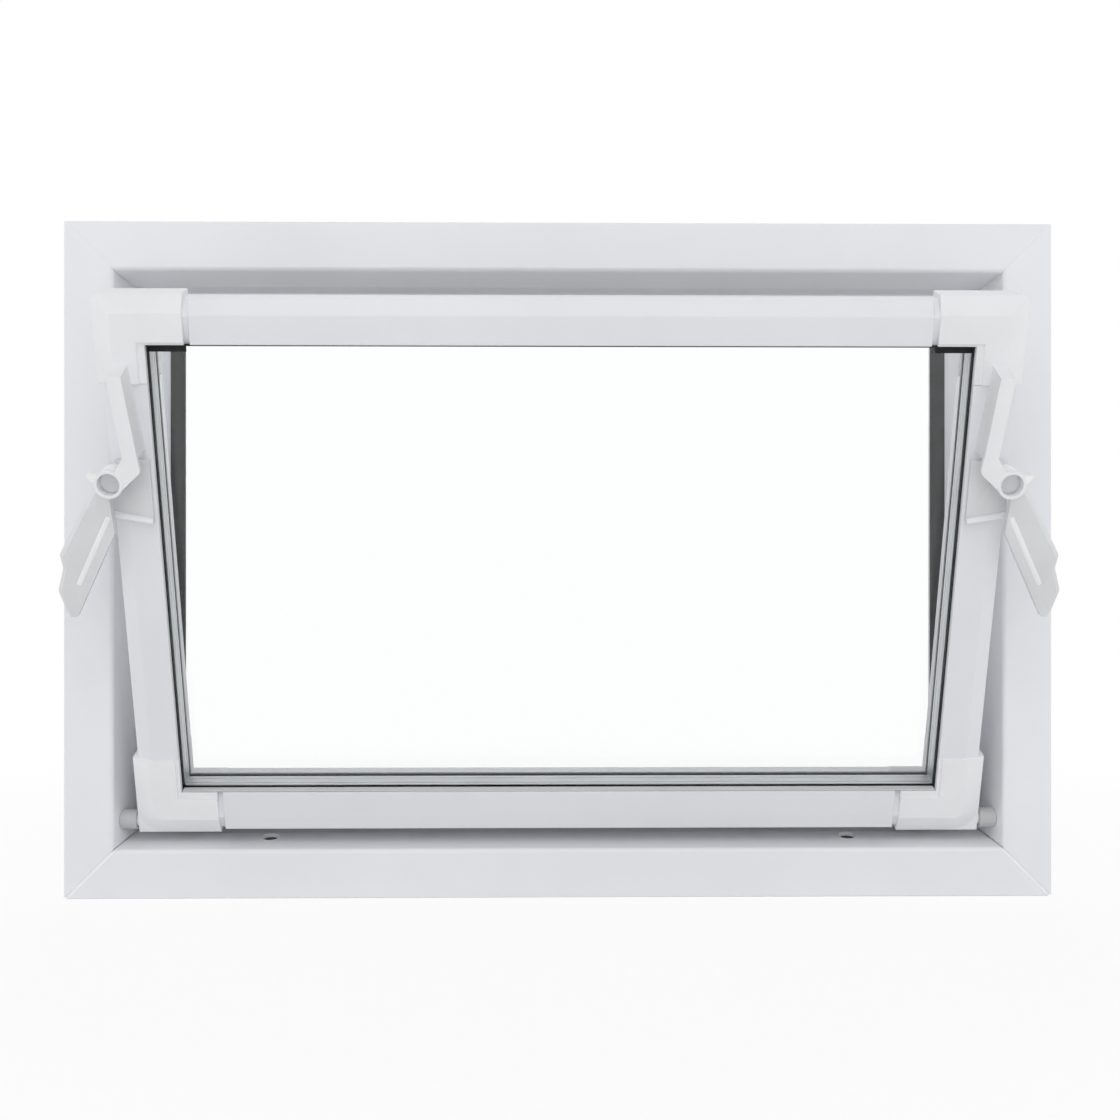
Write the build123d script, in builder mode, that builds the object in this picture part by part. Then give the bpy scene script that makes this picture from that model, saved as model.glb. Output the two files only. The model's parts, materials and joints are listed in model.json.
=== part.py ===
from build123d import *
from math import cos, radians, sin, tan
import os

# A white PVC tilting window: a mitred outer frame, and a bottom-hung double-glazed sash that tips inwards.
# X runs to the right and Z upwards, seen from the room, and Y runs outwards, away from the room.
# The origin is the middle of the sill's underside. The sash is drawn open, resting at its full tilt.
# Lengths are in millimetres and angles in degrees.

# Outer frame
frame_width = 600.0
frame_height = 410.0
frame_depth = 70.0
face_width = 30.0
edge_radius = 3.0
reveal_angle = 10.5
reveal_end = 28.0
stop_front = 46.0
stop_height = 58.0
drain_from_end = 121.0
drain_setback = 21.0
drain_diameter = 11.6
drain_depth = 14.0

# Seal on the stop
seal_thickness = 4.0
seal_overhang = 5.5
seal_seat = 3.5
seal_gap = 0.5

# Sash, set into the frame's opening with these gaps at its sides, top and bottom
sash_side_gap = 8.2
sash_top_gap = 7.2
sash_bottom_gap = 5.3
sash_face_setback = 5.0
sash_tilt = 18.1
pin_above_edge = 6.0
pin_behind_face = 9.0

# Sash bars
bar_width = 25.2
bar_inset = 3.2
bevel_width = 8.8
bevel_drop = 4.0
step_behind_face = 20.0
step_inset = 8.0
groove_front = 5.0
groove_depth = 12.0
joint_width = 3.2
joint_depth = 3.5
joint_tooth = 2.0

# Corner mouldings
moulding_leg = 50.0
top_upright_width = 24.3
top_level_width = 27.1
bottom_upright_width = 26.3
bottom_level_width = 24.4
moulding_proud = 1.5
moulding_bevel = 10.8
bevel_sweep_radius = 6.0
corner_cut = 4.0

# Hinge pins and their bearings
pin_diameter = 8.0
pin_engagement = 5.9
pin_root = 12.0
pin_clearance = 0.05
bearing_diameter = 12.0
bearing_gap = 1.4

# Double glazing
pane_thickness = 4.0
pane_gap = 12.0
glass_edge_gap = 2.0
gasket_thickness = 2.0
gasket_lip = 0.6
gasket_lip_front = 1.0
spacer_width = 7.0
spacer_showing = 0.5

# Lever bases, each with a pin that its lever turns on
eye_from_edge = 7.4
eye_below_top = 102.2
eye_outer_diameter = 16.0
eye_bore_diameter = 12.5
eye_floor = 9.0
base_thickness = 2.5
base_inner_gap = 1.9
base_outer_inset = 2.5
base_above_eye = 10.0
base_below_eye = 26.4
base_heel = 22.0
base_rim_width = 2.0
base_rim_height = 3.0
lever_pin_diameter = 8.0

# Levers: lengths along run from the pin to the tip, and lengths out run away from the glass
lever_front_gap = 5.5
lever_thickness = 5.0
lever_play = 0.3
lever_angle = 27.0
grip_length = 83.7
grip_outer = 7.3
grip_inner = 13.2
grip_inner_start = 26.0
neck_along = 7.0
neck_inner = 2.0
first_bump_from_tip = 31.2
first_bump_out = 10.0
valley_from_tip = 24.4
valley_out = 5.2
second_bump_from_tip = 10.7
second_bump_out = 2.8
bump_radius = 3.5
tip_slant = 2.2
tip_shoulder = 6.3
tip_outer = -9.7
grip_bevel_width = 2.6
grip_bevel_depth = 3.0
slot_width = 3.3
slot_start = 18.5
slot_end_from_tip = 19.7
slot_inner = 6.7
nose_along = 2.0
nose_out = 13.0
nose_width = 2.0

# Stay bars
stay_thickness = 3.5
stay_width = 8.2
stay_overlap = 11.5
stay_top_slant = 4.0
stay_top_from_edge = 14.7
stay_bend_from_edge = 20.3
stay_bend_above_eye = 15.0
stay_hook_bulge = 1.4
stay_hook_radius = 5.0
eye_rim = 4.0

# Sizes that follow from the ones above
reveal_slope = tan(radians(reveal_angle))
reveal_depth = face_width + (reveal_end - edge_radius) * reveal_slope
sash_width = frame_width - 2 * (reveal_depth + sash_side_gap)
sash_height = frame_height - 2 * reveal_depth - sash_top_gap - sash_bottom_gap
bar_thickness = stop_front - seal_thickness - seal_gap - sash_face_setback
bevel_fall = moulding_proud + bevel_drop
groove_back = groove_front + 2 * (gasket_thickness + pane_thickness) + pane_gap
bar_edge = bar_inset + bar_width
groove_inset = bar_edge - groove_depth
pane_inset = groove_inset + glass_edge_gap
pane_width = sash_width - 2 * pane_inset
pane_height = sash_height - 2 * pane_inset
inner_pane_front = groove_front + gasket_thickness
outer_pane_front = inner_pane_front + pane_thickness + pane_gap
gasket_seat = bar_edge - pane_inset
gasket_width = gasket_seat + gasket_lip
spacer_inset = gasket_width + spacer_showing - spacer_width
eye_across = sash_width / 2 - eye_from_edge
eye_height = sash_height / 2 - eye_below_top
lever_seat = sash_face_setback + lever_front_gap
eye_base = lever_seat + lever_thickness + lever_play
leg_end = sash_height / 2 - moulding_leg
stay_front = eye_base + stay_thickness
first_bump_along = grip_length - first_bump_from_tip
valley_along = grip_length - valley_from_tip
second_bump_along = grip_length - second_bump_from_tip
slot_end = grip_length - slot_end_from_tip

# Planes: local x runs right, local y up and local z towards the room
frame_plane = Plane((0, -frame_depth / 2, frame_height / 2), x_dir=(1, 0, 0), z_dir=(0, -1, 0))
pin_height = reveal_depth + sash_bottom_gap + pin_above_edge
pin_depth = sash_face_setback + pin_behind_face - frame_depth / 2
closed_plane = Plane((0, pin_depth, pin_height), x_dir=(1, 0, 0), z_dir=(0, -1, 0))
tilted_plane = closed_plane.rotated((sash_tilt, 0, 0))
sash_centre = tilted_plane.from_local_coords((0, sash_height / 2 - pin_above_edge, pin_behind_face))
sash_plane = Plane(sash_centre, x_dir=tilted_plane.x_dir, z_dir=tilted_plane.z_dir)

sides = {"left": -1, "right": 1}
levels = {"bottom": -1, "top": 1}
inward_dirs = {"bottom": (0, 1), "top": (0, -1), "left": (1, 0), "right": (-1, 0)}


def section_plane(base, inward, half_span):
    """Plane of a bar's section: local x runs back from the face, y inwards and z along the bar."""
    inward_dir = base.x_dir * inward[0] + base.y_dir * inward[1]
    outer_edge = base.from_local_coords((-inward[0] * half_span, -inward[1] * half_span, 0))
    return Plane(outer_edge, x_dir=-base.z_dir, z_dir=(-base.z_dir).cross(inward_dir))


def mitre_plane(section, half_length, end):
    """Plane that cuts a bar's end at 45 degrees, from the outer corner inwards."""
    corner = section.from_local_coords((0, 0, end * half_length))
    return Plane(corner, z_dir=section.y_dir + section.z_dir * end)


def mitred_strip(base, inward, span, length, *blocks):
    """A strip beside the edge of a rectangle, mitred at both ends, of blocks given by depths and insets."""
    section = section_plane(base, inward, span / 2)
    with BuildPart() as strip:
        with BuildSketch(section):
            for depths, insets in blocks:
                with Locations(((depths[0] + depths[1]) / 2, (insets[0] + insets[1]) / 2)):
                    Rectangle(depths[1] - depths[0], insets[1] - insets[0])
        extrude(amount=length / 2, both=True)
        for end in (-1, 1):
            split(bisect_by=mitre_plane(section, length / 2, end), keep=Keep.BOTTOM)
    return strip


def finish(piece, name):
    """Label a finished piece and write it to its own file."""
    piece.part.label = name
    export_step(piece.part, f"parts/{name}.step")


os.makedirs("parts", exist_ok=True)

# Frame bars: one section all round, cut to a mitre at both ends
frame_names = {
    "bottom": "frame_sill",
    "top": "frame_head",
    "left": "frame_jamb_left",
    "right": "frame_jamb_right",
}
for place, name in frame_names.items():
    upright = place in sides
    span = frame_width if upright else frame_height
    length = frame_height if upright else frame_width
    section = section_plane(frame_plane, inward_dirs[place], span / 2)
    with BuildPart() as bar:
        with BuildSketch(section):
            with BuildLine():
                Line((0, 0), (0, face_width - edge_radius))
                TangentArc((0, face_width - edge_radius), (edge_radius, face_width), tangent=(0, 1))
                Polyline(
                    (edge_radius, face_width),
                    (reveal_end, reveal_depth),
                    (stop_front, reveal_depth),
                    (stop_front, stop_height),
                    (frame_depth, stop_height),
                    (frame_depth, 0),
                    (0, 0),
                )
            make_face()
        extrude(amount=length / 2, both=True)
        for end in (-1, 1):
            split(bisect_by=mitre_plane(section, length / 2, end), keep=Keep.BOTTOM)
        if place == "bottom":
            drain_height = face_width + (drain_setback - edge_radius) * reveal_slope
            with BuildSketch(Plane((0, drain_setback - frame_depth / 2, drain_height - drain_depth))):
                with GridLocations(frame_width - 2 * drain_from_end, 0, 2, 1):
                    Circle(drain_diameter / 2)
            extrude(amount=2 * drain_depth, mode=Mode.SUBTRACT)
    finish(bar, name)

# Black seal strips on the stop, where the closed sash lands
for place, inward in inward_dirs.items():
    upright = place in sides
    seal = mitred_strip(
        frame_plane,
        inward,
        frame_width if upright else frame_height,
        frame_height if upright else frame_width,
        ((stop_front - seal_thickness, stop_front), (stop_height - seal_seat, stop_height + seal_overhang)),
    )
    finish(seal, f"frame_seal_{place}")

# Hinge bearings: round bosses on the jambs' sloping reveals, bored for the sash pins
bearing_front = sash_face_setback + pin_behind_face - bearing_diameter / 2
bearing_back = bearing_front + bearing_diameter
for side, sign in sides.items():
    bearing_inner = sash_width / 2 + bearing_gap
    reveal_at_front = frame_width / 2 - face_width - (bearing_front - edge_radius) * reveal_slope
    reveal_at_back = frame_width / 2 - face_width - (bearing_back - edge_radius) * reveal_slope
    with BuildPart() as bearing:
        with BuildSketch(Plane((0, -frame_depth / 2, pin_height))):
            with BuildLine():
                Polyline(
                    (sign * bearing_inner, bearing_front),
                    (sign * reveal_at_front, bearing_front),
                    (sign * reveal_at_back, bearing_back),
                    (sign * bearing_inner, bearing_back),
                    close=True,
                )
            make_face()
        extrude(amount=bearing_diameter / 2, both=True)
        with BuildSketch(Plane((0, pin_depth, pin_height), z_dir=(sign, 0, 0))):
            Circle(bearing_diameter / 2)
            Circle(pin_diameter / 2 + pin_clearance, mode=Mode.SUBTRACT)
        extrude(amount=frame_width / 2, mode=Mode.INTERSECT)
    finish(bearing, f"hinge_bearing_{side}")

# Sash bars between the corner mouldings: a bevelled face, a groove for the glass and a stepped back.
# The rails stop short of the mouldings on their face, in an open joint that a tooth at the ridge bridges.
joint_cuts = (
    (0, bevel_width - joint_tooth / 2, bevel_drop + joint_depth),
    (bevel_width + joint_tooth / 2, bar_width, joint_depth),
)
bar_names = {
    "bottom": "sash_rail_bottom",
    "top": "sash_rail_top",
    "left": "sash_stile_left",
    "right": "sash_stile_right",
}
for place, name in bar_names.items():
    upright = place in sides
    span = sash_width if upright else sash_height
    length = (sash_height if upright else sash_width) - 2 * moulding_leg
    with BuildPart() as bar:
        with BuildSketch(section_plane(sash_plane, inward_dirs[place], span / 2 - bar_inset)):
            with BuildLine():
                Polyline(
                    (bevel_drop, 0),
                    (0, bevel_width),
                    (0, bar_width),
                    (groove_front, bar_width),
                    (groove_front, bar_width - groove_depth),
                    (groove_back, bar_width - groove_depth),
                    (groove_back, bar_width),
                    (bar_thickness, bar_width),
                    (bar_thickness, step_inset),
                    (step_behind_face, step_inset),
                    (step_behind_face, 0),
                    close=True,
                )
            make_face()
        extrude(amount=length / 2, both=True)
        if place in levels:
            for low, high, depth in joint_cuts:
                joint_height = levels[place] * (sash_height / 2 - bar_inset - (low + high) / 2)
                with BuildSketch(sash_plane):
                    with Locations((0, joint_height)):
                        with GridLocations(length - joint_width, 0, 2, 1):
                            Rectangle(joint_width, high - low)
                extrude(amount=-depth, mode=Mode.SUBTRACT)
    finish(bar, name)


def corner_outline(side, level, near, upright, flat):
    """Corners of an angle, from near the sash's outer edges to the widths of its upright and level legs."""
    steps = [
        (near, near),
        (moulding_leg, near),
        (moulding_leg, flat),
        (upright, flat),
        (upright, moulding_leg),
        (near, moulding_leg),
    ]
    return [(side * (sash_width / 2 - a), level * (sash_height / 2 - b)) for a, b in steps]


def from_outer_edge(edge):
    """Distance of an edge's middle from the nearer outer edge of the sash."""
    middle = sash_plane.to_local_coords(edge @ 0.5)
    return min(sash_width / 2 - abs(middle.X), sash_height / 2 - abs(middle.Y))


# Corner mouldings: solid angles that the bars butt against, standing a little proud of them, with a
# shelf that carries the bars' inner edge round the corner. The bevel mitres at the top corners, which
# are cut off, and sweeps round the bottom ones as part of a cone.
moulding_widths = {
    "bottom": (bottom_upright_width, bottom_level_width),
    "top": (top_upright_width, top_level_width),
}
shelf_widths = (bar_edge, bar_edge)
ridge_inset = bar_inset + bevel_width
back_inset = bar_inset + step_inset
sweep_inset = moulding_bevel + bevel_sweep_radius
hanging = (Align.CENTER, Align.CENTER, Align.MAX)
for level_name, level in levels.items():
    legs = moulding_widths[level_name]
    for side, sign in sides.items():
        with BuildPart(sash_plane.offset(moulding_proud)) as sweep_cut:
            block_middle = (sign * (sash_width - sweep_inset) / 2, level * (sash_height - sweep_inset) / 2)
            with Locations(block_middle):
                Box(sweep_inset, sweep_inset, bevel_fall, align=hanging)
            cone_middle = (sign * (sash_width / 2 - sweep_inset), level * (sash_height / 2 - sweep_inset))
            with Locations(cone_middle):
                Cone(sweep_inset, bevel_sweep_radius, bevel_fall, align=hanging, mode=Mode.SUBTRACT)
        with BuildPart() as moulding:
            with BuildSketch(sash_plane.offset(moulding_proud)):
                with BuildLine():
                    Polyline(*corner_outline(sign, level, 0, *legs), close=True)
                make_face()
            extrude(amount=-moulding_proud - step_behind_face)
            front = faces().sort_by(Axis(sash_centre, sash_plane.z_dir))[-1]
            outer_edges = front.edges().filter_by(lambda edge: from_outer_edge(edge) < bar_inset)
            chamfer(outer_edges, moulding_bevel, bevel_fall, reference=front)
            if level_name == "top":
                cut_middle = (sign * (sash_width - corner_cut) / 2, (sash_height - corner_cut) / 2, 0)
                cut_point = sash_plane.from_local_coords(cut_middle)
                cut_dir = sash_plane.x_dir * sign + sash_plane.y_dir
                split(bisect_by=Plane(cut_point, z_dir=cut_dir), keep=Keep.BOTTOM)
            else:
                add(sweep_cut.part, mode=Mode.SUBTRACT)
                pin_start = (sign * (sash_width / 2 - pin_root), pin_depth, pin_height)
                with BuildSketch(Plane(pin_start, z_dir=(sign, 0, 0))):
                    Circle(pin_diameter / 2)
                extrude(amount=pin_root + bearing_gap + pin_engagement)
            with BuildSketch(sash_plane):
                with BuildLine():
                    Polyline(*corner_outline(sign, level, ridge_inset, *shelf_widths), close=True)
                make_face()
            extrude(amount=-groove_front)
            with BuildSketch(sash_plane.offset(-step_behind_face)):
                with BuildLine():
                    Polyline(*corner_outline(sign, level, back_inset, *shelf_widths), close=True)
                make_face()
            extrude(amount=step_behind_face - bar_thickness)
            with BuildSketch(sash_plane.offset(-groove_front)):
                with BuildLine():
                    Polyline(*corner_outline(sign, level, groove_inset, *shelf_widths), close=True)
                make_face()
            extrude(amount=groove_front - groove_back, mode=Mode.SUBTRACT)
        finish(moulding, f"corner_moulding_{level_name}_{side}")

# Double glazing: two panes, spacer bars between them and rubber gasket strips on both faces
for name, front in {"inner_pane": inner_pane_front, "outer_pane": outer_pane_front}.items():
    with BuildPart() as pane:
        with BuildSketch(sash_plane.offset(-front)):
            Rectangle(pane_width, pane_height)
        extrude(amount=-pane_thickness)
    finish(pane, name)

inner_pane_back = inner_pane_front + pane_thickness
outer_pane_back = outer_pane_front + pane_thickness
pane_strips = {
    "glass_spacer": [((inner_pane_back, outer_pane_front), (spacer_inset, spacer_inset + spacer_width))],
    "inner_gasket": [
        ((groove_front, inner_pane_front), (0, gasket_seat)),
        ((gasket_lip_front, inner_pane_front), (gasket_seat, gasket_width)),
    ],
    "outer_gasket": [((outer_pane_back, groove_back), (0, gasket_width))],
}
for strip_name, blocks in pane_strips.items():
    for place, inward in inward_dirs.items():
        upright = place in sides
        span = pane_width if upright else pane_height
        length = pane_height if upright else pane_width
        strip = mitred_strip(sash_plane, inward, span, length, *blocks)
        finish(strip, f"{strip_name}_{place}")

# Lever bases: a plate on the stile with a raised lower rim, and the pin
base_inner = sash_width / 2 - bar_edge + base_inner_gap
base_outer = sash_width / 2 - base_outer_inset
base_foot = eye_height - base_below_eye
base_heel_height = eye_height - base_heel
for side, sign in sides.items():
    lower_edge = [(base_inner, base_foot), (base_outer, base_heel_height)]
    upper_edge = [(eye_across, eye_height + base_above_eye), (base_inner, eye_height + base_above_eye)]
    rim_top = [(x, y + base_rim_width) for x, y in reversed(lower_edge)]
    with BuildPart() as base:
        with BuildSketch(sash_plane):
            with BuildLine():
                Polyline(*[(sign * x, y) for x, y in lower_edge + upper_edge], close=True)
            make_face()
            with Locations((sign * eye_across, eye_height)):
                Circle(eye_outer_diameter / 2)
        extrude(amount=base_thickness)
        with BuildSketch(sash_plane):
            with BuildLine():
                Polyline(*[(sign * x, y) for x, y in lower_edge + rim_top], close=True)
            make_face()
        extrude(amount=base_thickness + base_rim_height)
        with BuildSketch(sash_plane):
            with Locations((sign * eye_across, eye_height)):
                Circle(lever_pin_diameter / 2)
        extrude(amount=eye_floor)
    finish(base, f"lever_base_{side}")

# Stay bars: a deep rib that stands on the top corner moulding and the stile and hooks round into an eye
side_plane = Plane(sash_centre, x_dir=sash_plane.y_dir, z_dir=sash_plane.x_dir)
stay_top = leg_end + stay_overlap
stay_top_across = sash_width / 2 - stay_top_from_edge
stay_bend_across = sash_width / 2 - stay_bend_from_edge
bend_height = eye_height + stay_bend_above_eye
hook_low = eye_height - eye_outer_diameter
elbow = (stay_bend_across - stay_width / 2 - stay_hook_bulge, bend_height - stay_width)
for side, sign in sides.items():
    outline = [
        (stay_top_across + stay_width / 2, stay_top),
        (stay_top_across - stay_width / 2, stay_top),
        (stay_bend_across - stay_width / 2, bend_height),
        elbow,
        (eye_across - eye_outer_diameter / 2 + stay_hook_bulge, eye_height - eye_outer_diameter / 4),
        (eye_across, eye_height),
        (stay_bend_across + stay_width / 2, bend_height),
    ]
    with BuildPart() as stay:
        with BuildSketch(sash_plane):
            with BuildLine():
                Polyline(*[(sign * x, y) for x, y in outline], close=True)
            make_face()
            fillet(vertices().sort_by_distance((sign * elbow[0], elbow[1], 0))[0], stay_hook_radius)
        extrude(amount=eye_base + eye_rim)
        with BuildSketch(side_plane):
            with BuildLine():
                Polyline(
                    (leg_end, 0),
                    (leg_end, moulding_proud),
                    (stay_top, moulding_proud),
                    (stay_top - stay_top_slant, stay_front),
                    (hook_low, stay_front),
                    (hook_low, eye_base),
                    (bend_height, eye_base),
                    (bend_height, 0),
                    close=True,
                )
            make_face()
        extrude(amount=sash_width, both=True, mode=Mode.INTERSECT)
        with BuildSketch(sash_plane.offset(eye_base)):
            with Locations((sign * eye_across, eye_height)):
                Circle(eye_outer_diameter / 2)
        extrude(amount=eye_rim)
        with BuildSketch(sash_plane.offset(eye_base)):
            with Locations((sign * eye_across, eye_height)):
                Circle(eye_bore_diameter / 2)
        extrude(amount=2 * eye_rim, mode=Mode.SUBTRACT)
    finish(stay, f"stay_bar_{side}")


def on_outer_side(edge, plane, sign):
    """Whether an edge of a grip's front lies on its outer side, between the neck and the tip."""
    middle = plane.to_local_coords(edge @ 0.5)
    return middle.X > neck_along and sign * middle.Y > -tip_shoulder / 2


# Levers: a cupped hub on the pin and a slotted grip with two finger bumps and a bevelled outer edge,
# hanging down and outwards
grip_outline = [
    (0, grip_outer),
    (first_bump_along, first_bump_out),
    (valley_along, valley_out),
    (second_bump_along, second_bump_out),
    (grip_length - tip_slant / 2, -tip_shoulder),
    (grip_length, tip_outer),
    (grip_length - tip_slant, -grip_inner),
    (grip_inner_start, -grip_inner),
    (neck_along, -neck_inner),
]
nose_outline = [
    (-nose_along, 0),
    (nose_along - nose_width / 2, nose_out),
    (nose_along + nose_width / 2, nose_out),
    (neck_along, 0),
]
bumps_start = first_bump_along - bump_radius
bumps_end = second_bump_along + bump_radius
hub_foot = base_thickness + lever_play
for side, sign in sides.items():
    eye_point = sash_plane.from_local_coords((sign * eye_across, eye_height, lever_seat))
    lever_outwards = sash_plane.x_dir * (sign * sin(radians(lever_angle)))
    lever_dir = lever_outwards - sash_plane.y_dir * cos(radians(lever_angle))
    lever_plane = Plane(eye_point, x_dir=lever_dir, z_dir=sash_plane.z_dir)
    with BuildPart() as lever:
        with BuildSketch(lever_plane):
            with BuildLine():
                Polyline(*[(along, sign * out) for along, out in grip_outline], close=True)
            make_face()
            bumps = vertices().filter_by(lambda corner: bumps_start < corner.X < bumps_end)
            fillet(bumps, bump_radius)
        extrude(amount=lever_thickness)
        front = faces().sort_by(Axis(eye_point, lever_plane.z_dir))[-1]
        bevel_edges = front.edges().filter_by(lambda edge: on_outer_side(edge, lever_plane, sign))
        chamfer(bevel_edges, grip_bevel_width, grip_bevel_depth, reference=front)
        with BuildSketch(lever_plane):
            with BuildLine():
                Polyline(*[(along, sign * out) for along, out in nose_outline], close=True)
            make_face()
        extrude(amount=lever_thickness)
        with BuildSketch(lever_plane.offset(hub_foot - lever_seat)):
            Circle(eye_outer_diameter / 2)
        extrude(amount=lever_seat + lever_thickness - hub_foot)
        with BuildSketch(lever_plane.offset(eye_floor - lever_seat)):
            Circle(eye_bore_diameter / 2)
        extrude(amount=eye_floor + lever_thickness, mode=Mode.SUBTRACT)
        with BuildSketch(lever_plane):
            Circle(lever_pin_diameter / 2 + pin_clearance)
        extrude(amount=lever_seat, both=True, mode=Mode.SUBTRACT)
        with BuildSketch(lever_plane):
            with Locations(((slot_start + slot_end) / 2, -sign * slot_inner)):
                SlotOverall(slot_end - slot_start, slot_width)
        extrude(amount=lever_thickness, mode=Mode.SUBTRACT)
    finish(lever, f"lever_{side}")
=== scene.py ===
import json
import math

import bmesh
import bpy
import numpy as np
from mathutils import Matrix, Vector


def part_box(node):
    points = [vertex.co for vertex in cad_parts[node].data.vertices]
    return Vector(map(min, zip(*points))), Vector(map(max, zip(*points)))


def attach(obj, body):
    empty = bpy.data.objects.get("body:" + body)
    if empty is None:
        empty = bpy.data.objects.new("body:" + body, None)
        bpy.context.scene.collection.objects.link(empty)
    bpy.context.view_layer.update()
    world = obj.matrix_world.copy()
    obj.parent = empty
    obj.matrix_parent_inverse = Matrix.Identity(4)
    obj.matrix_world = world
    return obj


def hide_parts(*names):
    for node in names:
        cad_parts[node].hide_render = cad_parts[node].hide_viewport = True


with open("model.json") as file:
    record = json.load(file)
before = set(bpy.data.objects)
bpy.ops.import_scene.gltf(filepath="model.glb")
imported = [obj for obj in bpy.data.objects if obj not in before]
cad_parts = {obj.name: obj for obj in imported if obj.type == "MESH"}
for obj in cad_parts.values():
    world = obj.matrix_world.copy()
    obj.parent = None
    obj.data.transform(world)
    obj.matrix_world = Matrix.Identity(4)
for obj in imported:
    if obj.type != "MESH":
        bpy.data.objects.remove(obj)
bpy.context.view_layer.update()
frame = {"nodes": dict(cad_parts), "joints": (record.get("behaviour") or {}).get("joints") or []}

# A white PVC window: a welded outer frame and a double-glazed sash that tips inwards on its bottom edge.
# Lengths are in millimetres unless a comment says otherwise, and MM turns them to metres.
MM = 0.001
SIDES = ("bottom", "right", "top", "left")
UPRIGHT = ("left", "right")
SIGNS = {"left": -1, "right": 1}

# Outer frame: its section is (depth behind the room face, inset from the outer edge, corner radius)
frame_section = (
    (0.0, 0.0, 1.0),
    (0.0, 29.45, 3.0),
    (28.0, 34.63, 2.0),
    (46.0, 34.63, 0.4),
    (46.0, 58.0, 1.2),
    (70.0, 58.0, 1.0),
    (70.0, 0.0, 1.0),
)
# Cleaned welds at the mitres: how deep the groove is at the bottom and top, how far it reaches into the
# level bars and the jambs, and the shares of that reach at which a bar has a ring of points
weld_depths = {"bottom": 0.95, "top": 0.2}
weld_reach_level = 2.0
weld_reach_jamb = 0.8
weld_steps = (0.0, 0.35, 0.7, 1.0, 1.25)
# Drain holes in the sill's reveal, each with a funnel that overlaps its edge and a dark cup below, which is
# painted shade. The cup keeps as far from the hole's wall as the funnel overlaps, and its floor leaves only
# a pinhole
drain_from_end = 121.0
drain_setback = 21.0
drain_diameter = 11.6
drain_depth = 13.0
drain_bore = 8.6
drain_funnel = 1.0
drain_rim = 0.25
drain_wall = 0.6
drain_pinhole = 0.05
drain_overlap = 0.1
drain_cup_lift = 3.4
# Radii of the frame seal's edges, towards the frame and towards the opening
seal_outer_radius = 0.4
seal_inner_radius = 1.2

# Sash bars: depth behind the bars' face, inset from the bar's outer edge, corner radius
bar_width = 25.2
bevel_width = 8.8
bevel_radius = 0.8
bar_bevel_depth = 4.0
bottom_bevel_depth = 0.9
bar_section = (
    (0.0, bevel_width, 4.0),
    (0.0, bar_width, 0.8),
    (5.0, bar_width, 0.4),
    (5.0, 13.2, 0.3),
    (29.0, 13.2, 0.3),
    (29.0, bar_width, 0.4),
    (36.5, bar_width, 0.8),
    (36.5, 8.0, 0.8),
    (20.0, 8.0, 0.5),
    (20.0, 0.0, 0.8),
)
# Open joints between the rails and the corner mouldings
joint_width = 3.2
joint_depth = 3.5
joint_tooth = 2.0
joint_step = 0.2

# Strips round the glass: depth behind the bars' face, inset from the panes' edge, corner radius
lip_low = 10.0
lip_high = 10.6
inner_gasket_body = (
    (7.0, lip_high, 0.2),
    (7.0, 0.0, 0.2),
    (5.0, 0.0, 0.2),
    (5.0, lip_low, 0.2),
)
# Depth of the inner gasket's lip, which stands further forward at the bottom and top than at the sides
lip_fronts = {"bottom": 1.0, "right": 3.5, "top": 0.9, "left": 3.5}
outer_gasket_section = (
    (27.0, 0.0, 0.2),
    (27.0, 9.6, 0.2),
    (29.0, 9.6, 0.7),
    (29.0, 0.0, 0.2),
)
# A pale trim on the lip at the bottom, greyer as painted shade, which leaves a thin black line between it
# and the glass
trim_section = (
    (0.9, 10.2, 0.1),
    (0.9, 10.8, 0.2),
    (5.6, 10.8, 0.2),
    (5.6, 10.2, 0.1),
)
# Tabs of the gasket at the top corners: the length and drop show, and the section is (depth, drop, radius)
tab_length = 21.2
tab_drop = 4.6
tab_section = (
    (6.2, 0.0, 0.2),
    (6.2, tab_drop, 0.3),
    (7.0, tab_drop, 0.2),
    (7.0, 0.0, 0.2),
)
# The spacer's face has two rolled grooves, at these depths
spacer_front = 11.0
spacer_back = 23.0
spacer_low = 4.1
spacer_high = 10.3
spacer_grooves = (13.7, 19.6)
spacer_groove_half_width = 0.55
spacer_groove_depth = 0.7
spacer_groove_radius = 0.12

# Levers: how far they hang outwards, in degrees, and the level of their joint before the bars' face
lever_angle = 27.0
lever_pin_level = 5.9
# White inserts in their slots, whiter than the corners as a painted highlight: start and end are from the
# pin towards the tip, inner is from there towards the glass, and foot and face are levels before the bars'
# face.
# The crown's arc, in degrees, stops short of a quarter turn, which leaves a narrow flat on top
slot_start = 18.5
slot_end = 64.0
slot_inner = 6.7
slot_half_width = 1.65
insert_foot = 11.0
insert_face = 15.3
insert_crown = 0.8
insert_crown_turn = 84.6
insert_crown_steps = 7
insert_end_steps = 13
# The painted highlight on top of a lever's hub: its place from the pin, and how far off it starts to fade
# and ends
highlight_out = 4.0
highlight_up = 9.0
highlight_reach = (10.2, 12.6)
# Floors of the levers' cupped hubs, by their level before the bars' face
hub_floor_radius = 6.15
hub_floor_foot = 9.1
hub_floor_face = 13.5
hub_floor_edge = 0.3
# Beads on the lower rims of the base plates: the rim's ends from the lever's pin, outwards and up,
# and the section's height up the stile, level before the bars' face and corner radius
rim_ends = ((-19.3, -25.44), (5.0, -20.98))
bead_section = (
    (-1.3, 2.6, 0.2),
    (1.9, 2.6, 0.3),
    (1.6, 5.0, 0.6),
    (-0.2, 6.4, 0.8),
    (-1.3, 5.9, 0.4),
)

# Moulded pieces: how much their edges are rounded, where they turn by more than an angle in degrees
moulded_edge = 0.7
lever_edge = 1.2
rounded_angle = 24.0
rounded_segments = 3
# CAD points closer than this are merged, and faces that turn by less than this many degrees are joined
merge_distance = 0.001
flat_angle = 0.4
# Points of a section's corner and of a circle
arc_steps = 6
circle_steps = 48
circle_angles = np.linspace(0, 2 * np.pi, circle_steps + 1)[:-1]
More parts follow.
